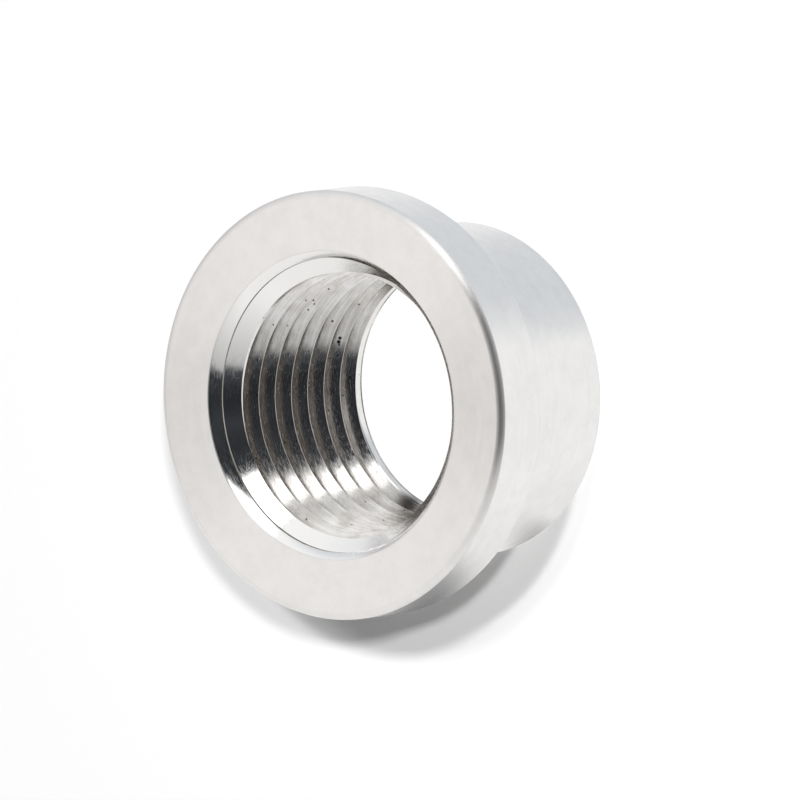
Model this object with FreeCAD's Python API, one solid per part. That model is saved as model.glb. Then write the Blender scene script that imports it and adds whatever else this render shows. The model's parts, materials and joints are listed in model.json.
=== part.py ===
import FreeCAD
import Part
import math
import os

# Weld bung: a flanged ring turned in one piece from stainless bar. Its spigot drops into
# the hole of a pipe or tank wall, the flange is welded round, and the bore takes a
# half-inch taper pipe thread.
# The axis is +Z. The ring stands on the spigot's end, with its threaded mouth up and the
# origin at the bottom centre. Sizes are in millimetres, angles in degrees.

# Outside
OVERALL_LENGTH = 16.0
FLANGE_DIAMETER = 30.5
FLANGE_THICKNESS = 4.6
SPIGOT_DIAMETER = 23.75

# Edges and corners outside
FACE_EDGE_CHAMFER = 0.5
FLANGE_BACK_EDGE_BREAK = 0.15
SPIGOT_END_EDGE_BREAK = 0.15
SHOULDER_CORNER_RADIUS = 0.3

# Bore: drilled straight through, then reamed from the flange's face to the taper of the
# thread's crests. The reamer's cone runs out in the drilled hole near the spigot's end.
DRILLED_DIAMETER = 17.86
REAMED_DIAMETER_AT_FACE = 18.7
TAPER_ON_DIAMETER = 1 / 16

# Countersinks at the bore's two ends
MOUTH_DIAMETER = 22.0
MOUTH_ANGLE = 90.0
REAR_MOUTH_DIAMETER = 19.5
REAR_MOUTH_ANGLE = 90.0

# How far each cutter runs past the face that it enters
CUTTER_OVERRUN = 1.0

UP = FreeCAD.Vector(0, 0, 1)


def point(radius, height):
    """A point of the half-section, at this radius and height."""
    return FreeCAD.Vector(radius, 0, height)


def shoulder_corner(radius, height, corner_radius):
    """The round in the corner where the spigot meets the flange's underside."""
    lowest = point(radius, height - corner_radius)
    outermost = point(radius + corner_radius, height)
    inset = corner_radius * (1 - math.sqrt(0.5))
    middle = point(radius + inset, height - inset)
    return Part.Arc(lowest, middle, outermost).toShape()


def line(start, end):
    """A straight edge of the half-section."""
    return Part.LineSegment(start, end).toShape()


def stepped_blank():
    """The outside of the ring, still solid: spigot, shoulder and flange."""
    spigot_radius = SPIGOT_DIAMETER / 2
    flange_radius = FLANGE_DIAMETER / 2
    shoulder = OVERALL_LENGTH - FLANGE_THICKNESS
    corner = SHOULDER_CORNER_RADIUS

    spigot_side = [
        point(0, 0),
        point(spigot_radius - SPIGOT_END_EDGE_BREAK, 0),
        point(spigot_radius, SPIGOT_END_EDGE_BREAK),
        point(spigot_radius, shoulder - corner),
    ]
    flange_side = [
        point(spigot_radius + corner, shoulder),
        point(flange_radius - FLANGE_BACK_EDGE_BREAK, shoulder),
        point(flange_radius, shoulder + FLANGE_BACK_EDGE_BREAK),
        point(flange_radius, OVERALL_LENGTH - FACE_EDGE_CHAMFER),
        point(flange_radius - FACE_EDGE_CHAMFER, OVERALL_LENGTH),
        point(0, OVERALL_LENGTH),
        point(0, 0),
    ]
    edges = [line(a, b) for a, b in zip(spigot_side, spigot_side[1:])]
    edges.append(shoulder_corner(spigot_radius, shoulder, corner))
    edges += [line(a, b) for a, b in zip(flange_side, flange_side[1:])]
    half_section = Part.Face(Part.Wire(edges))
    return half_section.revolve(point(0, 0), UP, 360)


def drilled_hole():
    """The drill's cylinder, through the whole ring."""
    length = OVERALL_LENGTH + 2 * CUTTER_OVERRUN
    return Part.makeCylinder(DRILLED_DIAMETER / 2, length, point(0, -CUTTER_OVERRUN), UP)


def reamed_radius(height):
    """Radius of the reamer's cone at this height."""
    depth = OVERALL_LENGTH - height
    return (REAMED_DIAMETER_AT_FACE - depth * TAPER_ON_DIAMETER) / 2


def tapered_reaming():
    """The reamer's cone. Where it is narrower than the drilled hole, it cuts nothing."""
    low = -CUTTER_OVERRUN
    high = OVERALL_LENGTH + CUTTER_OVERRUN
    return Part.makeCone(reamed_radius(low), reamed_radius(high), high - low, point(0, low), UP)


def countersink(mouth_diameter, included_angle, face_height, inward):
    """A pointed countersink whose cone is as wide as the mouth where it meets the face."""
    slope = math.tan(math.radians(included_angle / 2))
    mouth_radius = mouth_diameter / 2
    depth = mouth_radius / slope
    start = point(0, face_height) - inward * CUTTER_OVERRUN
    widest = mouth_radius + CUTTER_OVERRUN * slope
    return Part.makeCone(widest, 0, depth + CUTTER_OVERRUN, start, inward)


def weld_bung():
    """The finished ring: the stepped blank, drilled, reamed and countersunk at both ends."""
    cutters = [
        drilled_hole(),
        tapered_reaming(),
        countersink(MOUTH_DIAMETER, MOUTH_ANGLE, OVERALL_LENGTH, -UP),
        countersink(REAR_MOUTH_DIAMETER, REAR_MOUTH_ANGLE, 0, UP),
    ]
    ring = stepped_blank().cut(cutters)
    solid = ring.Solids[0]
    if len(ring.Solids) != 1 or not solid.isValid():
        raise ValueError("the ring is not one sound solid with these sizes")
    return solid


os.makedirs("parts", exist_ok=True)
weld_bung().exportStep("parts/weld_bung.step")
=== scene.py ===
# Weld bung: the looks of a turned stainless ring with a half-inch taper pipe thread, and the
# white product table that it stands on. The ring's outside, countersinks and bore are read from
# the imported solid. The thread is cut here, into the wall of that bore.
# Lengths are in metres. The ring's axis is +Z, with its threaded mouth up.

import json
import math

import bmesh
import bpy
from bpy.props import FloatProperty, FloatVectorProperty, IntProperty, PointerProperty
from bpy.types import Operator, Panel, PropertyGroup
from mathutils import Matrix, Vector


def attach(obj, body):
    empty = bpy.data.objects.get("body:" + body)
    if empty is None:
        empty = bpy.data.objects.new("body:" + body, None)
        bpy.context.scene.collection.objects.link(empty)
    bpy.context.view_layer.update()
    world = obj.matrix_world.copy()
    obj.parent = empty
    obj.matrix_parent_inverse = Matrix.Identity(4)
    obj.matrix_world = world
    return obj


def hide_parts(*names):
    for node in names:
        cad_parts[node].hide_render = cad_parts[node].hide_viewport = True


bl_info = {
    "name": "Weld Bung",
    "version": (1, 0, 0),
    "blender": (4, 5, 0),
    "location": "3D View > Sidebar > Weld Bung",
    "description": "Builds a threaded weld bung in turned stainless steel and a white table for it",
    "category": "Object",
}

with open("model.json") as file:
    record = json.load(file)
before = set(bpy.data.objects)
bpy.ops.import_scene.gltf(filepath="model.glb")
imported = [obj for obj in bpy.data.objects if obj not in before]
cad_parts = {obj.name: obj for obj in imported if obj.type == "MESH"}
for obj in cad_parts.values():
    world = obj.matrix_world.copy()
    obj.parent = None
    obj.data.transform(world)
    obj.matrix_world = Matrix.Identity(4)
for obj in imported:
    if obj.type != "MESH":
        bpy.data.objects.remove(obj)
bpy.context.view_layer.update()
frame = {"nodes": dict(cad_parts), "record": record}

MM = 0.001
MICROMETRE_DIGITS = 6
BODY = "root"
NODE = "weld_bung"


def rounded(size):
    """A size, rounded to the micrometre, so that equal sizes compare as equal."""
    return round(size, MICROMETRE_DIGITS)


def solid_rings(node):
    """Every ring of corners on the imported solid, as (height, radius) pairs from the bottom up."""
    corners = [vertex.co for vertex in frame["nodes"][node].data.vertices]
    return sorted({(rounded(corner.z), rounded(math.hypot(corner.x, corner.y))) for corner in corners})


def mount(name):
    """The record's mount of this name."""
    return next(m for m in frame["record"]["mounts"] if m["name"] == name)


RINGS = solid_rings(NODE)
TOP = RINGS[-1][0]
FLANGE_RADIUS = max(radius for height, radius in RINGS)
SPIGOT_RADIUS = mount("spigot")["dims"]["r_mm"] * MM
SHOULDER_HEIGHT = mount("flange_underside")["pos_m"][2]
DRILLED_RADIUS = min(radius for height, radius in RINGS)
DRILLED_TOP = max(height for height, radius in RINGS if radius == DRILLED_RADIUS)
MOUTH_RADIUS = min(radius for height, radius in RINGS if height == TOP)
FACE_RADIUS = max(radius for height, radius in RINGS if height == TOP)
REAR_MOUTH_RADIUS = min(radius for height, radius in RINGS if height == 0)
END_RADIUS = max(radius for height, radius in RINGS if height == 0)
BACK_EDGE_RADIUS = max(radius for height, radius in RINGS if height == rounded(SHOULDER_HEIGHT))

# Standard half-inch taper pipe thread
THREADS_PER_INCH = 14
INCH = 0.0254
TAPER_ON_RADIUS = 1 / 32

# The 45 degree mouth ends where it meets the reamed taper.
REAMED_AT_TOP = DRILLED_RADIUS + (TOP - DRILLED_TOP) * TAPER_ON_RADIUS
THROAT_HEIGHT = TOP - (MOUTH_RADIUS - REAMED_AT_TOP) / (1 - TAPER_ON_RADIUS)
THROAT_RADIUS = MOUTH_RADIUS - (TOP - THROAT_HEIGHT)


def length(name, description, default):
    """A length that a user may change, in metres."""
    return FloatProperty(
        name=name, description=description, default=default, min=0, unit="LENGTH", precision=6
    )


def share(name, description, default, highest=1.0):
    """A plain number from zero up."""
    return FloatProperty(
        name=name, description=description, default=default, min=0, max=highest, precision=3
    )


def angle(name, description, degrees):
    """An angle, given in degrees."""
    return FloatProperty(
        name=name, description=description, default=math.radians(degrees), subtype="ANGLE", unit="ROTATION"
    )


def colour(name, description, default):
    """A colour, in linear light."""
    return FloatVectorProperty(
        name=name, description=description, default=default, size=3, min=0, max=1, subtype="COLOR"
    )


class RingSizes(PropertyGroup):
    """Sizes of the ring's outside and of the bore before it is threaded."""

    top: length("Length", "Height of the ring, from the spigot's end to the flange's face", TOP)
    flange_radius: length("Flange radius", "Radius of the flange's side", FLANGE_RADIUS)
    face_radius: length("Face radius", "Radius at which the flange's face meets its chamfer", FACE_RADIUS)
    back_edge_radius: length("Back edge", "Radius of the flat underside of the flange", BACK_EDGE_RADIUS)
    shoulder: length("Shoulder height", "Height of the flange's underside", SHOULDER_HEIGHT)
    spigot_radius: length("Spigot radius", "Radius of the spigot's side", SPIGOT_RADIUS)
    end_radius: length("End radius", "Outer radius of the spigot's flat end", END_RADIUS)
    corner: length("Corner radius", "Round in the corner under the flange", 0.3 * MM)
    mouth_radius: length("Mouth radius", "Radius of the countersink at the face", MOUTH_RADIUS)
    rear_mouth_radius: length("Rear mouth", "Radius of the countersink at the end", REAR_MOUTH_RADIUS)
    drilled_radius: length("Drilled radius", "Radius of the drilled hole", DRILLED_RADIUS)
    drilled_top: length("Drilled top", "Height at which the reamed taper begins", DRILLED_TOP)
    throat_height: length("Throat height", "Height at which the mouth's cones end", THROAT_HEIGHT)
    throat_radius: length("Throat radius", "Radius at which the mouth's cones end", THROAT_RADIUS)
    lip: length("Lip", "Width of the round between the face and the mouth", 0.06 * MM)
    step_width: length("Step width", "Mean width of the mouth's outer cone, seen along the axis", 0.52 * MM)
    step_depth: length("Step depth", "Mean depth at which the mouth's outer cone ends", 0.47 * MM)
    ledge_depth: length("Ledge depth", "Mean depth at which the mouth's inner cone begins", 0.78 * MM)
    step_shift: length("Step shift", "How far the step's circle is off centre", 0.17 * MM)
    step_towards: angle("Step towards", "Direction in which the step's circle is off centre", 255)
    mark: length("Tool mark", "Size of the tool's mark where two cuts of the bore meet", 0.07 * MM)
    edge_height: length("Edge height", "How far down the side the face's rounded chamfer ends", 0.4 * MM)
    crown: share("Chamfer crown", "How far the face's chamfer bulges, as a share of its width", 0.15)
    cone_crown: share("Cone crown", "How far the mouth's outer cone bulges, as a share of its width", 0.015)
    columns: IntProperty(name="Columns", description="Steps round the ring", default=512, min=32)


class ThreadSizes(PropertyGroup):
    """Sizes of the taper pipe thread."""

    pitch: length("Pitch", "Height of one turn", INCH / THREADS_PER_INCH)
    depth: length("Depth", "From the crest to the root", 1.45 * MM)
    crest: length("Crest width", "Flat left on each crest", 0.03 * MM)
    root: length("Root width", "Flat at the bottom of each groove", 0.07 * MM)
    first_crest: length("First crest", "Height of the first crest where the turns are counted", 13.776 * MM)
    fade_start: share("Fade start", "Turn past the first crest where the thread starts to fade", 0.8, 5.0)
    fade_end: share("Fade end", "Turn past the first crest where the thread is gone", 1.0, 5.0)
    lead_end: length("Lead end", "Height at which the tap's lead stops cutting", 1.5 * MM)
    lead_slope: share("Lead slope", "Radius that the lead loses on each unit of height", 1.6, 5.0)


class SteelFinish(PropertyGroup):
    """How the steel looks."""

    base: colour("Steel", "Reflection of clean stainless steel", (0.90, 0.892, 0.88))
    # Also the colour of the painted shade in the roots of the grooves
    stain_and_root_shade: colour("Stain", "Reflection of steel with cutting oil dried on it", (0.58, 0.555, 0.525))
    # Also the colour of the painted dark reflection near the bore's rear end
    dirt_and_shade: colour("Dirt", "Colour of the specks and smudges in the bore", (0.035, 0.03, 0.03))
    face_roughness: share("Face roughness", "Roughness of the faced surfaces", 0.34)
    side_roughness: share("Side roughness", "Roughness of the turned sides", 0.25)
    bore_roughness: share("Bore roughness", "Roughness of the reamed and threaded bore", 0.09)
    edge_roughness: share("Edge roughness", "Roughness of the burnished edges", 0.38)
    brushed: share("Brushing", "How much more the turned surfaces blur across their marks", 0.8)
    edge_brushed: share("Edge brushing", "How much more the edges blur across their marks", 0.9)
    bore_brushed: share("Bore brushing", "How much more the bore blurs across its marks", 0.3)


class StudioSettings(PropertyGroup):
    """The white table, its light and the camera."""

    view_elevation: angle("View height", "How far the camera looks down", 52.12)
    view_roll: angle("View roll", "Turn of the camera about its view", 97.23)
    table_tilt: angle("Table tilt", "How far the view looks down on the table that the ring lay on", 26.5)


def add(tree, kind, inputs=None, output=0, **settings):
    """One output of a new node with these settings and inputs, which are values or other outputs."""
    node = tree.nodes.new(kind)
    for name, value in settings.items():
        setattr(node, name, value)
    for name, value in (inputs or {}).items():
        if isinstance(value, bpy.types.NodeSocket):
            tree.links.new(value, node.inputs[name])
        else:
            node.inputs[name].default_value = value
    return node.outputs[output] if node.outputs else None


def calculate(tree, operation, *values, clamped=False):
    """A Math node."""
    return add(tree, "ShaderNodeMath", dict(enumerate(values)), operation=operation, use_clamp=clamped)


def product(tree, first, *others):
    """All these values, multiplied."""
    for other in others:
        first = calculate(tree, "MULTIPLY", first, other)
    return first


def vector(tree, operation, *values, output="Vector"):
    """A Vector Math node."""
    return add(tree, "ShaderNodeVectorMath", dict(enumerate(values)), output, operation=operation)


def ramp(tree, value, low, high, to_low=0.0, to_high=1.0, kind="SMOOTHSTEP"):
    """value, eased from to_low at low to to_high at high."""
    ends = {"Value": value, "From Min": low, "From Max": high, "To Min": to_low, "To Max": to_high}
    return add(tree, "ShaderNodeMapRange", ends, interpolation_type=kind)


def fade(tree, value, full, none, kind="SMOOTHSTEP"):
    """1 as far as full, eased down to 0 at none."""
    return ramp(tree, value, full, none, 1.0, 0.0, kind)


def noise(tree, where, scale, detail, roughness):
    """Cloudy noise, from 0 to 1."""
    settings = {"Vector": where, "Scale": scale, "Detail": detail, "Roughness": roughness}
    return add(tree, "ShaderNodeTexNoise", settings)


def blend_colours(tree, factor, first, second):
    """The colour first where factor is 0, second where it is 1."""
    ends = {0: factor, 6: first, 7: second}
    return add(tree, "ShaderNodeMix", ends, output=2, data_type="RGBA")


def mix_shaders(tree, factor, first, second):
    """The shader first where factor is 0, second where it is 1."""
    return add(tree, "ShaderNodeMixShader", {0: factor, 1: first, 2: second})


def rgba(colour_of_three):
    """A colour with full opacity."""
    return (*colour_of_three, 1.0)


def clamp(value, low, high):
    """value, kept between low and high."""
    return max(low, min(high, value))


def arc(centre, radius, start, end, steps):
    """Points (radius, height) of an arc of the section, from one angle to another."""
    angles = [start + (end - start) * i / steps for i in range(steps + 1)]
    return [(centre[0] + radius * math.cos(a), centre[1] + radius * math.sin(a)) for a in angles]


def crowned(start, end, crown, steps):
    """Points from start to end on an arc that bulges by crown times the distance, to the right."""
    chord = math.dist(start, end)
    sagitta = crown * chord
    radius = (chord * chord / 4 + sagitta * sagitta) / (2 * sagitta)
    along = ((end[0] - start[0]) / chord, (end[1] - start[1]) / chord)
    right = (along[1], -along[0])
    inset = radius - sagitta
    middle = ((start[0] + end[0]) / 2, (start[1] + end[1]) / 2)
    centre = (middle[0] - right[0] * inset, middle[1] - right[1] * inset)
    first = math.atan2(start[1] - centre[1], start[0] - centre[0])
    last = math.atan2(end[1] - centre[1], end[0] - centre[0])
    return arc(centre, radius, first, last, steps)


# How far from a round a flat has its first point
BESIDE_A_ROUND = 0.02 * MM


def support(start, end):
    """start, end and a point close to each of them, so that a flat stays flat beside a round."""
    near = BESIDE_A_ROUND / math.dist(start, end)
    wide, tall = end[0] - start[0], end[1] - start[1]
    return [(start[0] + wide * t, start[1] + tall * t) for t in (0, near, 1 - near, 1)]


def lip_foot(ring):
    """Where the round at the mouth meets the mouth's outer cone, as (radius, height)."""
    share_of_lip = ring.lip / math.hypot(ring.step_width, ring.step_depth)
    radius = ring.mouth_radius - ring.step_width * share_of_lip
    return radius, ring.top - ring.step_depth * share_of_lip


# The finishes, in the order of the ring's materials
FACE, SIDE, EDGE, CONE, WALL, FLANK = range(6)

# Bulges of the edge breaks and the lip, as shares of their width
BREAK_CROWN = 0.15
LIP_CROWN = 0.12

# Steps in each round of the section
BREAK_STEPS = 4
CORNER_STEPS = 6
CHAMFER_STEPS = 10
LIP_STEPS = 3
CONE_STEPS = 6


def outside_section(ring):
    """The section's constant part, from the rear mouth round the outside to the threaded mouth.

    It is a list of (points, finish) stretches, each of which begins where the last one ends.
    """
    end_break = ring.spigot_radius - ring.end_radius
    back_break = ring.flange_radius - ring.back_edge_radius
    corner_centre = (ring.spigot_radius + ring.corner, ring.shoulder - ring.corner)
    side_foot = (ring.flange_radius, ring.shoulder + back_break)
    side_top = (ring.flange_radius, ring.top - ring.edge_height)

    end = support((ring.rear_mouth_radius, 0), (ring.end_radius, 0))
    end_edge = crowned(end[-1], (ring.spigot_radius, end_break), BREAK_CROWN, BREAK_STEPS)
    spigot = support(end_edge[-1], (ring.spigot_radius, corner_centre[1]))
    corner = arc(corner_centre, ring.corner, math.pi, math.pi / 2, CORNER_STEPS)
    underside = support(corner[-1], (ring.back_edge_radius, ring.shoulder))
    back_edge = crowned(underside[-1], side_foot, BREAK_CROWN, BREAK_STEPS)
    side = support(back_edge[-1], side_top)
    face_edge = crowned(side_top, (ring.face_radius, ring.top), ring.crown, CHAMFER_STEPS)
    face = support(face_edge[-1], (ring.mouth_radius + ring.lip, ring.top))
    lip = crowned(face[-1], lip_foot(ring), LIP_CROWN, LIP_STEPS)
    return [
        (end, FACE),
        (end_edge, EDGE),
        (spigot, SIDE),
        (corner, SIDE),
        (underside, FACE),
        (back_edge, EDGE),
        (side, SIDE),
        (face_edge, EDGE),
        (face, FACE),
        (lip, EDGE),
    ]


class Line:
    """A straight line of the section, given by one of its points and its slope."""

    def __init__(self, height, radius, slope):
        self.height = height
        self.radius = radius
        self.slope = slope

    def at(self, height):
        """The line's radius at this height."""
        return self.radius + (height - self.height) * self.slope

    def meets(self, other):
        """The height at which two lines have the same radius."""
        return (other.at(0) - self.at(0)) / (self.slope - other.slope)


# How much higher the step's upper and lower corners are for each unit that its circle is further out
STEP_RISE = 1.47
LEDGE_RISE = 0.47


def step_corners(ring, turn):
    """The step's radius and the heights of its upper and lower corner, at this share of a turn.

    The mouth's two cones are cut by two tools that are not quite on one axis.
    """
    shift = ring.step_shift * math.cos(math.tau * turn - ring.step_towards)
    radius = ring.mouth_radius - ring.step_width + shift
    upper = ring.top - ring.step_depth + shift * STEP_RISE
    lower = ring.top - ring.ledge_depth + shift * LEDGE_RISE
    return radius, upper, lower


def reamed_line(ring):
    """The reamed taper, which the thread's crests lie on."""
    return Line(ring.drilled_top, ring.drilled_radius, TAPER_ON_RADIUS)


def bore_lines(ring, turn):
    """The rear cone, the drilled hole, the reamed taper and the mouth's inner cone.

    Under the mouth's step, the bore is the widest of these.
    """
    radius, _, lower = step_corners(ring, turn)
    slope = (radius - ring.throat_radius) / (lower - ring.throat_height)
    return [
        Line(0, ring.rear_mouth_radius, -1),
        Line(0, ring.drilled_radius, 0),
        reamed_line(ring),
        Line(ring.throat_height, ring.throat_radius, slope),
    ]


def bore_radius(lines, height):
    """Radius of the unthreaded bore."""
    return max(line.at(height) for line in lines)


def eased(value):
    """A value from 0 to 1, eased at both ends."""
    return value * value * (3 - 2 * value)


def groove_lines(ring, thread, turns):
    """The four lines that a groove is cut along, this many turns up the thread.

    In order they are the upper flank, the root, the tap's lead and the lower flank. The groove
    is the narrowest of them. It fades out at the mouth.
    """
    reamed = reamed_line(ring)
    crest = thread.first_crest + thread.pitch * turns
    flank = (thread.pitch - thread.crest - thread.root) / 2
    slope = thread.depth / flank
    upper = crest - thread.crest / 2
    lower = crest - thread.pitch + thread.crest / 2
    faded = eased(clamp((turns - thread.fade_start) / (thread.fade_end - thread.fade_start), 0, 1))
    depth = thread.depth * (1 - faded)
    return [
        Line(upper, reamed.at(upper), TAPER_ON_RADIUS - slope),
        Line(0, reamed.at(0) + depth, TAPER_ON_RADIUS),
        Line(thread.lead_end, ring.drilled_radius, thread.lead_slope),
        Line(lower, reamed.at(lower), TAPER_ON_RADIUS + slope),
    ]


def groove_mouth(groove, bore):
    """The heights (upper, lower) between which every groove line is outside every bore line."""
    upper, lower = math.inf, -math.inf
    for cut in groove:
        for wall in bore:
            if cut.slope < wall.slope:
                upper = min(upper, cut.meets(wall))
            elif cut.slope > wall.slope:
                lower = max(lower, cut.meets(wall))
    if upper < lower:
        upper = lower = (upper + lower) / 2
    return upper, lower


def groove_points(groove, bore):
    """Heights of a groove's five corners, from the top down. Where it is cut off, they coincide."""
    upper_flank, root, lead, lower_flank = groove
    upper, lower = groove_mouth(groove, bore)
    root_top = max(upper_flank.meets(root), upper_flank.meets(lead))
    root_end = min(lower_flank.meets(root), lower_flank.meets(lead))
    corners = [upper, root_top, root.meets(lead), root_end, lower]
    corners[2] = clamp(corners[2], root_end, root_top)
    return [clamp(corner, lower, upper) for corner in corners]


def mouth_points(ring, turn):
    """Points (radius, height, finish) down the mouth's outer cone and the step at its foot."""
    radius, upper, lower = step_corners(ring, turn)
    cone = crowned(lip_foot(ring), (radius, upper), ring.cone_crown, CONE_STEPS)
    from_corner = ring.mark / 3
    undercut = from_corner / 3
    wall = [
        (radius + undercut, upper - from_corner),
        (radius + undercut, lower + from_corner),
        (radius, lower),
    ]
    return [(r, z, CONE) for r, z in cone + wall]


def bore_column(ring, thread, turn):
    """Points (radius, height, finish) down the threaded bore, at this share of a turn.

    Every column has the same points in the same order. Those that the bore lacks at this angle
    lie on their neighbours.
    """
    bore = bore_lines(ring, turn)
    rear_cone, drilled, reamed, inner_cone = bore
    rear_knee = drilled.meets(rear_cone)
    knees = [
        (inner_cone.meets(reamed), 0, CONE),
        (reamed.meets(drilled), 0, WALL),
        (rear_knee + 2 * ring.mark, 0, WALL),
        (rear_knee + ring.mark, ring.mark, WALL),
        (rear_knee, 0, WALL),
    ]
    points = mouth_points(ring, turn)
    top = points[-1][1]
    last = top
    # From a turn above the first crest to past the rear end, at every angle
    for n in range(-1, math.ceil(ring.top / thread.pitch) + 2):
        groove = groove_lines(ring, thread, turn - n)
        corners = [clamp(corner, 0, top) for corner in groove_points(groove, bore)]
        for knee, cut, finish in knees:
            height = clamp(knee, corners[0], last)
            cut_here = cut if height == knee else 0
            points.append((bore_radius(bore, height) + cut_here, height, finish))
        points.append((bore_radius(bore, corners[0]), corners[0], WALL))
        for height in corners[1:-1]:
            inside = min(line.at(height) for line in groove)
            points.append((max(inside, bore_radius(bore, height)), height, FLANK))
        points.append((bore_radius(bore, corners[-1]), corners[-1], FLANK))
        last = corners[-1]
    points.append((bore_radius(bore, 0), 0, CONE))
    return points


def skin(mesh, columns, finishes):
    """Faces from each column of corners to the next, each in the finish of the corner it ends at."""
    count = len(finishes)
    for left, right in zip(columns, columns[1:]):
        for k in range(count):
            following = (k + 1) % count
            face = mesh.faces.new((left[k], right[k], right[following], left[following]))
            face.material_index = finishes[following]
            face.smooth = True


# Corners closer than this are one corner.
SAME_PLACE = 0.5e-6
# A face of the bore is on a cone where its normal leans at least this far along the axis.
CONE_SLOPE = 0.5
# Faces that meet at more than this angle have a sharp edge between them.
SHARP_ANGLE = math.radians(24)


def threaded_ring_mesh(ring, thread):
    """The whole ring as one closed mesh."""
    outside = [(r, z, finish) for stretch, finish in outside_section(ring) for r, z in stretch[1:]]
    mesh = bmesh.new()
    columns = []
    for i in range(ring.columns + 1):
        turn = i / ring.columns
        x, y = math.cos(math.tau * turn), math.sin(math.tau * turn)
        section = bore_column(ring, thread, turn) + outside
        columns.append([mesh.verts.new((r * x, r * y, z)) for r, z, finish in section])
    skin(mesh, columns, [finish for r, z, finish in section])
    bmesh.ops.remove_doubles(mesh, verts=mesh.verts, dist=SAME_PLACE)
    for face in mesh.faces:
        if face.material_index in (CONE, WALL):
            face.material_index = CONE if abs(face.normal.z) > CONE_SLOPE else WALL
    bmesh.ops.recalc_face_normals(mesh, faces=mesh.faces)
    made = bpy.data.meshes.new("threaded_ring")
    mesh.to_mesh(made)
    mesh.free()
    made.set_sharp_from_angle(angle=SHARP_ANGLE)
    return made


def around_the_axis(tree):
    """Place on the ring in millimetres: (whole vector, radius, height, direction from the axis)."""
    place = add(tree, "ShaderNodeTexCoord", output="Object")
    place = vector(tree, "MULTIPLY", place, (1 / MM, 1 / MM, 1 / MM))
    height = add(tree, "ShaderNodeSeparateXYZ", {"Vector": place}, "Z")
    level = vector(tree, "MULTIPLY", place, (1, 1, 0))
    radius = vector(tree, "LENGTH", level, output="Value")
    return place, radius, height, vector(tree, "NORMALIZE", level)


def tool_marks(tree, around, feed, per_radian, width):
    """Noise drawn out round the axis, as a tool leaves it: width in millimetres across the marks.

    per_radian is how many marks follow each other on a radian of the ring.
    """
    stretched = vector(tree, "MULTIPLY", around, (per_radian, per_radian, 0))
    across = add(tree, "ShaderNodeCombineXYZ", {"Z": calculate(tree, "DIVIDE", feed, width)})
    where = vector(tree, "ADD", stretched, across)
    return noise(tree, where, scale=1.0, detail=3.0, roughness=0.6)


# Weight of the broad marks against the fine ones, and the middle of both together
BROAD_MARKS = 2.0
MIDDLE_OF_MARKS = 1.5


def marks_on_steel(tree, around, feed):
    """Height of the tool marks, from 0 to about 3."""
    fine = tool_marks(tree, around, feed, per_radian=6.0, width=0.05)
    broad = tool_marks(tree, around, feed, per_radian=2.5, width=0.35)
    return calculate(tree, "MULTIPLY_ADD", broad, BROAD_MARKS, fine)


# Turns the long way of a highlight from along the marks to across them
QUARTER_TURN = 0.25


def steel_shader(tree, base, rough, marks, depth, brushed):
    """Metal whose highlights run out across its tool marks, which are this many metres deep."""
    normal = add(tree, "ShaderNodeBump", {"Strength": 1.0, "Distance": depth, "Height": marks})
    tangent = add(tree, "ShaderNodeTangent", direction_type="RADIAL", axis="Z")
    shader = add(
        tree,
        "ShaderNodeBsdfPrincipled",
        {
            "Base Color": base,
            "Metallic": 1.0,
            "Roughness": rough,
            "Anisotropic": brushed,
            "Anisotropic Rotation": QUARTER_TURN,
            "Normal": normal,
            "Tangent": tangent,
        },
    )
    add(tree, "ShaderNodeOutputMaterial", {"Surface": shader})


def new_material(name):
    """An empty node material and its tree."""
    material = bpy.data.materials.new(name)
    material.use_nodes = True
    material.node_tree.nodes.clear()
    return material, material.node_tree


# Depth of the marks in metres, the share of the light that duller patches keep, the noise between
# which they turn bright, and how much the marks add to the roughness
TURNED_MARK_DEPTH = 0.25e-6
DULLER = 0.95
MOTTLING = (0.3, 0.65)
ROUGHER_AT_MARKS = 0.06


def turned_steel(name, finish, roughness, brushed, across_radius):
    """Clean stainless steel with fine tool marks that run round the axis."""
    material, tree = new_material(name)
    place, radius, height, around = around_the_axis(tree)
    marks = marks_on_steel(tree, around, radius if across_radius else height)
    mottling = noise(tree, place, scale=0.7, detail=6.0, roughness=0.7)
    duller = tuple(channel * DULLER for channel in finish.base)
    base = blend_colours(tree, ramp(tree, mottling, *MOTTLING), rgba(duller), rgba(finish.base))
    uneven = calculate(tree, "SUBTRACT", marks, MIDDLE_OF_MARKS)
    rough = calculate(tree, "MULTIPLY_ADD", uneven, ROUGHER_AT_MARKS, roughness)
    steel_shader(tree, base, rough, marks, TURNED_MARK_DEPTH, brushed)
    return material


def spot(tree, place, turn, height, depth, radius, softness):
    """1 inside a spot on the bore's wall, 0 outside it. Lengths are in millimetres."""
    out = THROAT_RADIUS / MM + depth
    centre = (out * math.cos(turn), out * math.sin(turn), height)
    away = vector(tree, "DISTANCE", place, centre, output="Value")
    return fade(tree, away, radius * (1 - softness), radius)


# Share of a speck's radius within which it is fully dark
SPECK_CORE = 0.6


def specks(tree, place, spacing, radius, rarity):
    """1 on small scattered specks. Lengths are in millimetres."""
    away = add(tree, "ShaderNodeTexVoronoi", {"Vector": place, "Scale": 1 / spacing}, "Distance")
    chance = add(tree, "ShaderNodeSeparateColor", {"Color": away.node.outputs["Color"]}, "Red")
    chosen = calculate(tree, "GREATER_THAN", chance, rarity)
    near = fade(tree, away, radius / spacing * SPECK_CORE, radius / spacing)
    return calculate(tree, "MULTIPLY", chosen, near)
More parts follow.
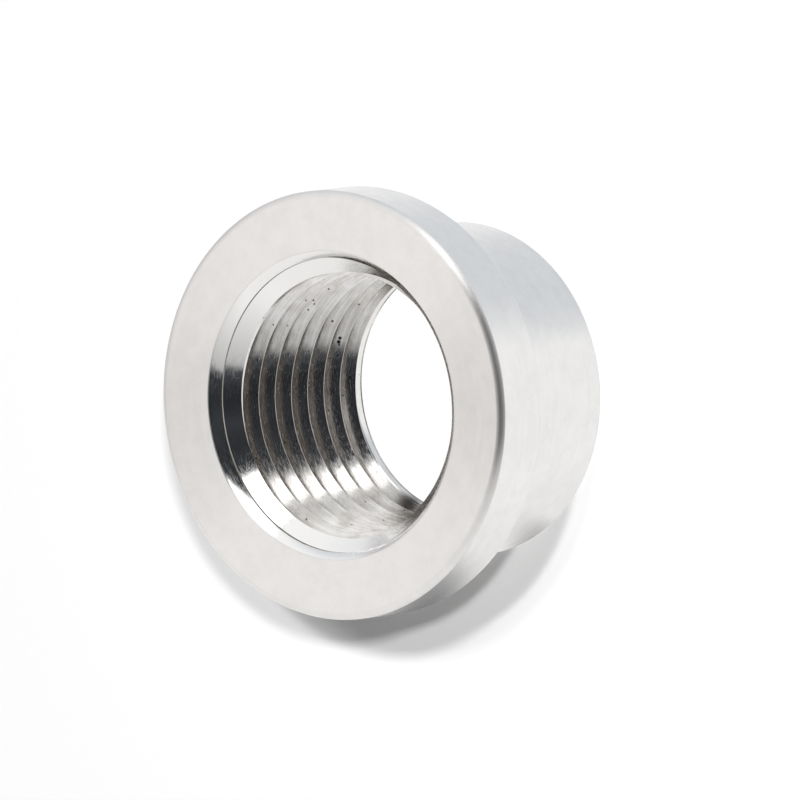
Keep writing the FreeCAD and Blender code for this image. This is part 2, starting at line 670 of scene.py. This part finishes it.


# Dark spots in the bore: specks and smudges, and last a painted dark reflection near the rear end. Each has
# the angle from +X in degrees, the height, how far outside the throat's radius the spot lies and its own
# radius (all in millimetres), how soft its edge is and how dark it is.
BORE_MARKS_AND_SHADE = (
    (60.2, 3.52, 0.1, 0.15, 0.3, 1.0),
    (61.1, 3.66, 0.1, 0.15, 0.3, 1.0),
    (62.0, 3.54, 0.1, 0.17, 0.3, 1.0),
    (63.2, 3.40, 0.1, 0.13, 0.3, 0.9),
    (64.6, 3.30, 0.1, 0.10, 0.3, 0.8),
    (39.3, 8.79, 0.1, 0.12, 0.4, 0.9),
    (37.9, 2.66, 0.1, 0.13, 0.4, 0.9),
    (45.1, 3.87, 0.1, 0.14, 0.4, 0.9),
    (42.3, 6.13, 0.1, 0.12, 0.4, 0.8),
    (50.9, 5.24, 0.1, 0.13, 0.4, 0.8),
    (83.7, 3.91, 0.2, 0.60, 1.0, 0.55),
    (112.8, 5.33, 0.2, 0.65, 1.0, 0.6),
    # Not dirt: a painted dark reflection on the bottom of the bore near its rear end
    (146.0, 1.68, 0.0, 1.50, 0.8, 0.9),
)


# Depths under the crests, in millimetres, between which the painted shade in the roots of the grooves sets
# in
ROOT_SHADE_DEPTHS = (0.35, 1.3)


def painted_root_shade(tree, radius, height):
    """From 0 on the crests to 1 at the roots of the grooves: painted shade, darker deeper in the grooves.
    """
    crests_at_end = (REAMED_AT_TOP - TOP * TAPER_ON_RADIUS) / MM
    crests = calculate(tree, "MULTIPLY_ADD", height, TAPER_ON_RADIUS, crests_at_end)
    return ramp(tree, calculate(tree, "SUBTRACT", radius, crests), *ROOT_SHADE_DEPTHS)


# How much the streaks and the clouds count, and the sum between which the film sets in
STREAKS = 0.6
CLOUDS = 0.7
FILM = (0.42, 0.92)


def oil_and_root_shade(tree, place, radius, height, streaks):
    """Dried cutting oil in streaks and clouds, with painted shade in the roots of the grooves, from 0 to 1.
    """
    clouds = noise(tree, place, scale=0.55, detail=4.0, roughness=0.6)
    film = calculate(tree, "MULTIPLY_ADD", streaks, STREAKS, calculate(tree, "MULTIPLY", clouds, CLOUDS))
    root_shade = painted_root_shade(tree, radius, height)
    return calculate(tree, "ADD", ramp(tree, film, *FILM), root_shade, clamped=True)


def dirt_and_painted_shade(tree, place, stain_and_shade_amount):
    """1 on the specks, the smudges and the painted dark reflection near the rear end, 0 between them."""
    dirt_and_shade = calculate(tree, "MULTIPLY", specks(tree, place, spacing=0.7, radius=0.085, rarity=0.5), stain_and_shade_amount)
    for turn, height, depth, radius, softness, darkness in BORE_MARKS_AND_SHADE:
        mark = spot(tree, place, math.radians(turn), height, depth, radius, softness)
        dirt_and_shade = calculate(tree, "MAXIMUM", dirt_and_shade, calculate(tree, "MULTIPLY", mark, darkness))
    return dirt_and_shade


# Depth of the marks in metres, the noise between which scuffs set in, and how much scuffs and oil
# add to the roughness
BORE_MARK_DEPTH = 1.5e-6
SCUFFS = (0.38, 0.78)
ROUGHER_AT_SCUFFS = 0.17
ROUGHER_UNDER_OIL = 0.05


def bore_steel(name, finish, across_radius, stain_and_shade_amount):
    """Steel with streaks of dried cutting oil, painted shade in the roots of the grooves, specks, a few
    smudges and a painted dark reflection near the rear end.
    """
    material, tree = new_material(name)
    place, radius, height, around = around_the_axis(tree)
    feed = radius if across_radius else height
    marks = marks_on_steel(tree, around, feed)
    streaks = tool_marks(tree, around, feed, per_radian=3.0, width=0.16)
    # The film is dried oil together with painted shade in the roots of the grooves.
    film = calculate(tree, "MULTIPLY", oil_and_root_shade(tree, place, radius, height, streaks), stain_and_shade_amount)
    base = blend_colours(tree, film, rgba(finish.base), rgba(finish.stain_and_root_shade))
    base = blend_colours(tree, dirt_and_painted_shade(tree, place, stain_and_shade_amount), base, rgba(finish.dirt_and_shade))
    scuffs = ramp(tree, tool_marks(tree, around, feed, per_radian=26.0, width=0.05), *SCUFFS)
    rough = calculate(tree, "MULTIPLY_ADD", scuffs, ROUGHER_AT_SCUFFS, finish.bore_roughness)
    rough = calculate(tree, "MULTIPLY_ADD", film, ROUGHER_UNDER_OIL, rough)
    steel_shader(tree, base, rough, marks, BORE_MARK_DEPTH, finish.bore_brushed)
    return material


def ring_materials(finish):
    """The ring's six finishes, in the order of FACE, SIDE, EDGE, CONE, WALL and FLANK."""
    faced, sides, edges = finish.face_roughness, finish.side_roughness, finish.edge_roughness
    return [
        turned_steel("faced_steel", finish, faced, finish.brushed, across_radius=True),
        turned_steel("turned_steel", finish, sides, finish.brushed, across_radius=False),
        turned_steel("burnished_edge", finish, edges, finish.edge_brushed, across_radius=True),
        bore_steel("countersunk_steel", finish, across_radius=True, stain_and_shade_amount=0.0),
        bore_steel("reamed_steel", finish, across_radius=False, stain_and_shade_amount=0.4),
        bore_steel("tapped_steel", finish, across_radius=True, stain_and_shade_amount=1.0),
    ]


def camera_axes(studio):
    """The camera's right, up and forward directions."""
    low, roll = studio.view_elevation, studio.view_roll
    forward = Vector((0, math.cos(low), -math.sin(low)))
    level_right = Vector((1, 0, 0))
    level_up = level_right.cross(forward)
    right = level_right * math.cos(roll) - level_up * math.sin(roll)
    up = level_right * math.sin(roll) + level_up * math.cos(roll)
    return right, up, forward


def photographed_table(studio):
    """Right, up and forward of the table that the ring lay on, seen from the camera."""
    right, up, forward = camera_axes(studio)
    tilt = studio.table_tilt
    table_up = up * math.cos(tilt) - forward * math.sin(tilt)
    table_forward = up * math.sin(tilt) + forward * math.cos(tilt)
    return right, table_up, table_forward


# The picture in pixels, and the lens and its sensor in millimetres
PICTURE_WIDTH = 800
PIXELS_PER_MM = 14.10
FACE_CENTRE_PIXEL = (330.8, 405.5)
LENS = 1500.0
SENSOR = 36.0

# The camera sees from a tenth of its distance to ten times its distance.
CLIP_RANGE = 10


def add_camera(ring, studio):
    """A long lens, so that the ring is drawn almost without perspective."""
    right, up, forward = camera_axes(studio)
    data = bpy.data.cameras.new("camera")
    data.lens = LENS
    data.sensor_width = SENSOR
    metres_wide = PICTURE_WIDTH / PIXELS_PER_MM * MM
    distance = metres_wide * LENS / SENSOR
    pixel = metres_wide / PICTURE_WIDTH
    middle = PICTURE_WIDTH / 2
    middle_of_ring = Vector((0, 0, ring.top / 2))
    aim = Vector((0, 0, ring.top))
    aim += right * (middle - FACE_CENTRE_PIXEL[0]) * pixel
    aim -= up * (middle - FACE_CENTRE_PIXEL[1]) * pixel
    data.clip_start = distance / CLIP_RANGE
    data.clip_end = distance * CLIP_RANGE
    camera = bpy.data.objects.new("camera", data)
    turned = Matrix((right, up, -forward)).transposed().to_4x4()
    past_the_face = (middle_of_ring - aim).dot(forward)
    camera.matrix_world = Matrix.Translation(aim + forward * (past_the_face - distance)) @ turned
    bpy.context.scene.collection.objects.link(camera)
    bpy.context.scene.camera = camera


def towards(axes, azimuth, elevation):
    """A direction in the photographed table's frame, in degrees right of forward and up."""
    right, up, forward = axes
    turn, rise = math.radians(azimuth), math.radians(elevation)
    level = forward * math.cos(turn) + right * math.sin(turn)
    return level * math.cos(rise) + up * math.sin(rise)


def patch(tree, direction, centre, full, none):
    """1 within full degrees of a direction, 0 past none degrees."""
    alike = vector(tree, "DOT_PRODUCT", direction, tuple(centre), output="Value")
    away = calculate(tree, "DEGREES", calculate(tree, "ARCCOSINE", alike))
    return fade(tree, away, full, none)


def between(tree, value, low, high, softness):
    """1 where value lies between low and high, 0 elsewhere."""
    after = ramp(tree, value, low - softness, low + softness)
    before = fade(tree, value, high - softness, high + softness)
    return product(tree, after, before)


# Colours of the room that the steel mirrors, and how bright the lamp in it is
WHITE = (1.0, 1.0, 1.0)
BLACK = (0.0, 0.0, 0.0)
WARM_WALL = (0.92, 0.9, 0.885)
COOL_WALL = (0.69, 0.72, 0.76)
TABLE_PAPER = (0.92, 0.915, 0.91)
DUSKY_CORNER = (0.56, 0.55, 0.57)
DARK_ROOM = ((0.02, 0.022, 0.026), (0.04, 0.044, 0.05))
LAMP_STRENGTH = 2.2

# Patches of the room: degrees right of forward and up, and the degrees from there within which
# a patch is full and past which it is gone
WARM_WALL_AT = (-106, 0)
WARM_WALL_REACH = (25, 60)
COOL_WALL_AT = (8, 25)
COOL_WALL_REACH = (46, 62)
DUSKY_CORNER_AT = (-45, 0)
DUSKY_CORNER_REACH = (18, 32)

# Soft borders in the room, in degrees above the table
COOL_WALL_FOOT = (3.0, 15.0)
PAPER_EDGE = (-55.0, -30.0)
ABOVE_TABLE = (-2.0, 2.0)
CAMERA_SIDE_RISE = (-45.0, 0.0)

# Soft borders in the room, in degrees to the right of the camera's side
CAMERA_SIDE = (60.0, 90.0)
DARK_LEFT = (-34.0, -60.0)
DARK_RIGHT = (34.0, 50.0)

# How far the camera's side is shaded, and the noise between which the dark side gets paler
CAMERA_SIDE_SHADE = 0.5
DARK_MOTTLING = (0.3, 0.7)

# Upward parts of a direction: the least that is divided by, and where the ceiling's lamp sets in
LEAST_UPWARD = 0.001
ABOVE_HORIZON = (0.05, 0.1)

# Soft borders on the ceiling, right or forward of the ring, with the ceiling one unit above it
LAMP_RIGHT_EDGE = (0.0, 0.04)
LAMP_ENDS = (-0.66, 0.04)
LAMP_END_SOFTNESS = 0.02
UNDER_LAMP = (-0.69, -0.64)
BESIDE_LAMP = (0.02, 0.06)
# Beside the lamp, the dark side of the room starts this much nearer to the ring.
NEARER_BESIDE_LAMP = -0.4
# The lamp's slanted edge: LAMP_SLANT times the place right, plus the place forward, where it lies
LAMP_SLANT = -1.38
LAMP_SLANTED_EDGE = (0.48, 0.52)


def lit_room(tree, axes, direction, elevation, from_behind):
    """The white side of the room, with its warm and cool walls, a dusky corner and the table."""
    camera_side = fade(tree, calculate(tree, "ABSOLUTE", from_behind), *CAMERA_SIDE)
    rise = ramp(tree, elevation, *CAMERA_SIDE_RISE, 0.0, CAMERA_SIDE_SHADE, "LINEAR")
    warm = patch(tree, direction, towards(axes, *WARM_WALL_AT), *WARM_WALL_REACH)
    paper = fade(tree, elevation, *PAPER_EDGE)
    cool = patch(tree, direction, towards(axes, *COOL_WALL_AT), *COOL_WALL_REACH)
    cool = product(tree, cool, ramp(tree, elevation, *COOL_WALL_FOOT))
    dusky = patch(tree, direction, towards(axes, *DUSKY_CORNER_AT), *DUSKY_CORNER_REACH)
    lit = blend_colours(tree, product(tree, camera_side, rise), rgba(WHITE), rgba(BLACK))
    for factor, tint in (
        (warm, WARM_WALL),
        (paper, TABLE_PAPER),
        (cool, COOL_WALL),
        (dusky, DUSKY_CORNER),
    ):
        lit = blend_colours(tree, factor, lit, rgba(tint))
    return lit


def unlit_room(tree, elevation, from_behind, ceiling_right, ceiling_forward):
    """1 on the dark part of the room behind the camera, 0 elsewhere."""
    left = fade(tree, from_behind, *DARK_LEFT)
    right = fade(tree, from_behind, *DARK_RIGHT)
    above_table = ramp(tree, elevation, *ABOVE_TABLE)
    beside_lamp = ramp(tree, ceiling_right, *BESIDE_LAMP)
    from_lamp = calculate(tree, "MULTIPLY_ADD", beside_lamp, NEARER_BESIDE_LAMP, ceiling_forward)
    under_lamp = fade(tree, from_lamp, *UNDER_LAMP)
    return product(tree, left, left, right, above_table, under_lamp)


def ceiling_lamp(tree, upward, ceiling_right, ceiling_forward):
    """1 on the bright lamp over the ring, 0 beside it."""
    slanted = calculate(tree, "MULTIPLY_ADD", ceiling_right, LAMP_SLANT, ceiling_forward)
    return product(
        tree,
        fade(tree, ceiling_right, *LAMP_RIGHT_EDGE),
        between(tree, ceiling_forward, *LAMP_ENDS, LAMP_END_SOFTNESS),
        fade(tree, slanted, *LAMP_SLANTED_EDGE),
        ramp(tree, upward, *ABOVE_HORIZON),
    )


def room_light(tree, axes):
    """The light that the steel mirrors: a Background of the white room, its dark side and its lamp."""
    direction = vector(tree, "NORMALIZE", add(tree, "ShaderNodeTexCoord", output="Generated"))
    sideways, upward, onward = (
        vector(tree, "DOT_PRODUCT", direction, tuple(axis), output="Value") for axis in axes
    )
    elevation = calculate(tree, "DEGREES", calculate(tree, "ARCSINE", upward))
    behind = calculate(tree, "MULTIPLY", onward, -1.0)
    from_behind = calculate(tree, "DEGREES", calculate(tree, "ARCTAN2", sideways, behind))
    above = calculate(tree, "MAXIMUM", upward, LEAST_UPWARD)
    ceiling_right = calculate(tree, "DIVIDE", sideways, above)
    ceiling_forward = calculate(tree, "DIVIDE", onward, above)

    lit = lit_room(tree, axes, direction, elevation, from_behind)
    dark = unlit_room(tree, elevation, from_behind, ceiling_right, ceiling_forward)
    uneven = ramp(tree, noise(tree, direction, scale=4.0, detail=2.0, roughness=0.5), *DARK_MOTTLING)
    dark_room = blend_colours(tree, uneven, rgba(DARK_ROOM[0]), rgba(DARK_ROOM[1]))
    lamp = ceiling_lamp(tree, upward, ceiling_right, ceiling_forward)
    lit = blend_colours(tree, lamp, blend_colours(tree, dark, lit, dark_room), rgba(WHITE))
    strength = calculate(tree, "MULTIPLY_ADD", lamp, LAMP_STRENGTH - 1, 1.0)
    return add(tree, "ShaderNodeBackground", {"Color": lit, "Strength": strength})


# Brightness of the sky over the floor, and how often light may bounce between the grooves
FLOOR_LIGHT = 0.07
BOUNCES = 24


def add_world(studio):
    """White to the camera, a plain dim sky over the floor, and the photographed room for the steel."""
    scene = bpy.context.scene
    scene.cycles.max_bounces = BOUNCES
    scene.cycles.glossy_bounces = BOUNCES
    world = bpy.data.worlds.new("white_room")
    scene.world = world
    world.use_nodes = True
    tree = world.node_tree
    tree.nodes.clear()
    rays = tree.nodes.new("ShaderNodeLightPath").outputs
    room = room_light(tree, photographed_table(studio))
    white = add(tree, "ShaderNodeBackground", {"Color": rgba(WHITE), "Strength": 1.0})
    sky = add(tree, "ShaderNodeBackground", {"Color": rgba(WHITE), "Strength": FLOOR_LIGHT})
    lit = mix_shaders(tree, rays["Is Diffuse Ray"], room, sky)
    seen = mix_shaders(tree, rays["Is Camera Ray"], lit, white)
    add(tree, "ShaderNodeOutputWorld", {"Surface": seen})


# The floor's side in metres, its colour, and the light added to it for the camera alone
FLOOR_SIZE = 3.0
FLOOR_COLOUR = (0.86, 0.86, 0.86)
FLOOR_FILL = 0.095
# Width of the soft edge, under the spigot's end, of the floor that glows white through the bore: painted
# light where the ring shades it
PAINTED_GLOW_EDGE = 0.3 * MM


def floor_material(ring):
    """White to the camera, with the ring's shadow. Reflections look past it into the room."""
    material, tree = new_material("white_table")
    rays = tree.nodes.new("ShaderNodeLightPath").outputs
    diffuse = add(tree, "ShaderNodeBsdfDiffuse", {"Color": rgba(FLOOR_COLOUR)})
    fill = calculate(tree, "MULTIPLY", rays["Is Camera Ray"], FLOOR_FILL)
    glow = add(tree, "ShaderNodeEmission", {"Strength": fill})
    paper = add(tree, "ShaderNodeAddShader", {0: diffuse, 1: glow})
    place = add(tree, "ShaderNodeTexCoord", output="Object")
    radius = vector(tree, "LENGTH", place, output="Value")
    # Under the spigot's end the floor glows white instead of taking the ring's shade: painted light.
    inside = fade(tree, radius, ring.end_radius - PAINTED_GLOW_EDGE, ring.end_radius, "LINEAR")
    lit = add(tree, "ShaderNodeEmission", {"Strength": 1.0})
    clear = add(tree, "ShaderNodeBsdfTransparent")
    seen = mix_shaders(tree, rays["Is Glossy Ray"], mix_shaders(tree, inside, paper, lit), clear)
    add(tree, "ShaderNodeOutputMaterial", {"Surface": seen})
    return material


def flat_square(name, low, high, material):
    """A flat square from low to high in its own X and Y, in this material."""
    mesh = bpy.data.meshes.new(name)
    corners = [(low, low, 0), (high, low, 0), (high, high, 0), (low, high, 0)]
    mesh.from_pydata(corners, [], [(0, 1, 2, 3)])
    mesh.materials.append(material)
    square = bpy.data.objects.new(name, mesh)
    bpy.context.scene.collection.objects.link(square)
    return square


def add_floor(ring):
    """The flat white surface that the ring stands on."""
    floor = flat_square("floor", -FLOOR_SIZE / 2, FLOOR_SIZE / 2, floor_material(ring))


# Distance of the lamps from the ring, in metres
LAMP_DISTANCE = 1.6

# Each lamp: how far left and up it is, its width and height in metres, and its share of the light
LAMPS = {
    "main_lamp": (0.22, 0.15, 0.09, 0.08, 0.38),
    "right_lamp": (0.01, 0.085, 0.07, 0.07, 0.38),
    "left_lamp": (0.38, 0.18, 0.22, 0.12, 0.20),
}


def add_lamp(studio, name, leftward, upward, width, height, share_of_light):
    """A soft lamp above the camera, which lights the floor and isn't mirrored by the steel.

    leftward and upward are its distances from the camera's line to the ring, per unit along that
    line. share_of_light is the brightness of a white floor under this lamp.
    """
    right, up, forward = camera_axes(studio)
    facing = (-forward + up * upward - right * leftward).normalized()
    side = (right - facing * right.dot(facing)).normalized()
    lift = facing.cross(side)
    data = bpy.data.lights.new(name, "AREA")
    data.shape = "RECTANGLE"
    data.size = width
    data.size_y = height
    data.energy = share_of_light * (math.pi * LAMP_DISTANCE) ** 2 / facing.z
    lamp = bpy.data.objects.new(name, data)
    turned = Matrix((side, lift, facing)).transposed().to_4x4()
    lamp.matrix_world = Matrix.Translation(facing * LAMP_DISTANCE) @ turned
    lamp.visible_glossy = False
    bpy.context.scene.collection.objects.link(lamp)


def add_lamps(studio):
    """Three lamps above the camera and to its left, which throw the ring's shadow on the floor."""
    for name, placing in LAMPS.items():
        add_lamp(studio, name, *placing)


# How bright the shaded table is, and in what colour
TABLE_SHADE = 0.22
SHADE_COLOUR = (0.97, 0.98, 1.0)
# Gap between the shaded table and the ring
CLEAR_OF_RING = 0.02 * MM

# Places on the shaded table are along the ring's axis and across it.
SHADED_EXTENT = (-8 * MM, 26 * MM)
UNDER_FLANGE = {
    "centre": (13.5 * MM, 4 * MM),
    "radii": (3.5 * MM, 12.5 * MM),
    "inner": 0.3,
    "outer": 1.5,
}
UNDER_END = {
    "centre": (0.3 * MM, 7 * MM),
    "radii": (2.2 * MM, 3.5 * MM),
    "inner": 0.2,
    "outer": 1.3,
}
UNDER_END_SHARE = 0.6


def shaded_patch(tree, place, centre, radii, inner, outer):
    """1 in the middle of an oval on the table, 0 outside it. Lengths are in metres.

    inner and outer are the shares of its radii at which the shade starts to fade and is gone.
    """
    away = vector(tree, "SUBTRACT", place, (*centre, 0))
    away = vector(tree, "DIVIDE", away, (*radii, 1))
    return fade(tree, vector(tree, "LENGTH", away, output="Value"), inner, outer)


def shaded_table_material():
    """Dim in the two ovals under the flange and the spigot's end, and clear elsewhere."""
    material, tree = new_material("shaded_table")
    place = add(tree, "ShaderNodeTexCoord", output="Object")
    under_flange = shaded_patch(tree, place, **UNDER_FLANGE)
    under_end = product(tree, shaded_patch(tree, place, **UNDER_END), UNDER_END_SHARE)
    shaded = calculate(tree, "MAXIMUM", under_flange, under_end)
    clear = add(tree, "ShaderNodeBsdfTransparent")
    shade = add(tree, "ShaderNodeEmission", {"Color": rgba(SHADE_COLOUR), "Strength": TABLE_SHADE})
    add(tree, "ShaderNodeOutputMaterial", {"Surface": mix_shaders(tree, shaded, clear, shade)})
    return material


def add_shaded_table(studio, ring):
    """The photographed table where the ring shaded it, which only the steel mirrors.

    It lies just under the flange and the spigot's end, along the line that the ring would lie on.
    """
    normal = photographed_table(studio)[1]
    along = (Vector((0, 0, 1)) - normal * normal.z).normalized()
    across = normal.cross(along)
    level = ring.shoulder * normal.z - ring.flange_radius * math.hypot(normal.x, normal.y)
    table = flat_square("shaded_table", *SHADED_EXTENT, shaded_table_material())
    turned = Matrix((along, across, normal)).transposed().to_4x4()
    table.matrix_world = Matrix.Translation(normal * (level - CLEAR_OF_RING)) @ turned
    table.visible_camera = False
    table.visible_diffuse = False
    table.visible_shadow = False
    table.visible_transmission = False


class BUNG_OT_threaded_ring(Operator):
    """Make the ring, with its thread, countersinks and steel finishes"""

    bl_idname = "bung.threaded_ring"
    bl_label = "Threaded ring"

    def execute(self, context):
        scene = context.scene
        mesh = threaded_ring_mesh(scene.bung_ring, scene.bung_thread)
        for material in ring_materials(scene.bung_steel):
            mesh.materials.append(material)
        piece = bpy.data.objects.new("threaded_ring", mesh)
        scene.collection.objects.link(piece)
        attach(piece, BODY)
        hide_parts(NODE)
        return {"FINISHED"}


class BUNG_OT_studio(Operator):
    """Make the white table and its shade, the room's light, the lamps and the camera"""

    bl_idname = "bung.studio"
    bl_label = "White table"

    def execute(self, context):
        scene = context.scene
        scene.view_settings.view_transform = "Standard"
        add_floor(scene.bung_ring)
        add_world(scene.bung_studio)
        add_lamps(scene.bung_studio)
        add_shaded_table(scene.bung_studio, scene.bung_ring)
        add_camera(scene.bung_ring, scene.bung_studio)
        return {"FINISHED"}


class BUNG_PT_panel(Panel):
    """The ring's sizes and the steps that build it"""

    bl_idname = "BUNG_PT_panel"
    bl_label = "Weld Bung"
    bl_space_type = "VIEW_3D"
    bl_region_type = "UI"
    bl_category = "Weld Bung"

    def draw(self, context):
        scene = context.scene
        for settings in (scene.bung_ring, scene.bung_thread, scene.bung_steel, scene.bung_studio):
            box = self.layout.box()
            for name in settings.bl_rna.properties.keys():
                if name not in ("rna_type", "name"):
                    box.prop(settings, name)
        self.layout.operator(BUNG_OT_threaded_ring.bl_idname)
        self.layout.operator(BUNG_OT_studio.bl_idname)


CLASSES = (
    RingSizes,
    ThreadSizes,
    SteelFinish,
    StudioSettings,
    BUNG_OT_threaded_ring,
    BUNG_OT_studio,
    BUNG_PT_panel,
)
SETTINGS = {
    "bung_ring": RingSizes,
    "bung_thread": ThreadSizes,
    "bung_steel": SteelFinish,
    "bung_studio": StudioSettings,
}


def register():
    """Add the classes and the scene's settings."""
    for made in CLASSES:
        bpy.utils.register_class(made)
    for name, group in SETTINGS.items():
        setattr(bpy.types.Scene, name, PointerProperty(type=group))


def unregister():
    """Take the settings and the classes away again."""
    for name in SETTINGS:
        delattr(bpy.types.Scene, name)
    for made in reversed(CLASSES):
        bpy.utils.unregister_class(made)


def main():
    """Build the ring and its table."""
    register()
    bpy.ops.bung.threaded_ring()
    bpy.ops.bung.studio()


if __name__ == "__main__":
    main()
